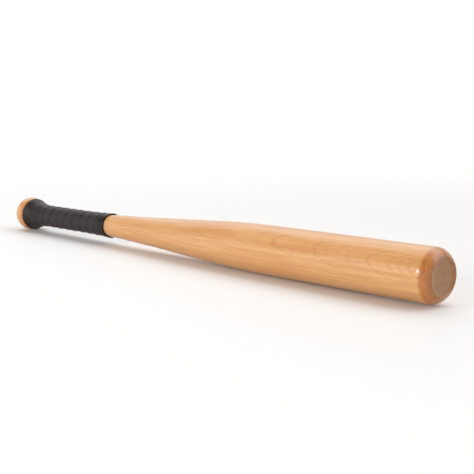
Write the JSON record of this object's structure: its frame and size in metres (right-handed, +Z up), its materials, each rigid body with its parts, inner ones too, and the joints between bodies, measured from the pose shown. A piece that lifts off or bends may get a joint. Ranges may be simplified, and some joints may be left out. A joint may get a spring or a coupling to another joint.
{
  "type": "baseball bat",
  "caption": "Turned wooden baseball bat with a round knob, a black wound grip closed by finishing tape, a smooth taper and a straight barrel with a shallow dished end.",
  "frame": {"origin": "on the floor under the middle of the bat, which lies at rest on its knob and its barrel", "axes": "+X along the bat from the knob to the barrel end, +Z up; the bat's own axis rises about 0.57 degrees towards +X"},
  "size_m": [0.8384, 0.0644, 0.0667],
  "materials": {
    "wood": "clear gloss lacquer over honey-coloured wood",
    "underlay": "matt double-sided cloth tape",
    "grip": "matt black synthetic leather",
    "tape": "slightly glossy black vinyl"
  },
  "bodies": {
    "root": {"bat_body": "wood", "grip_underlay": "underlay", "grip_wrap": "grip", "finishing_tape": "tape"}
  },
  "joints": []
}
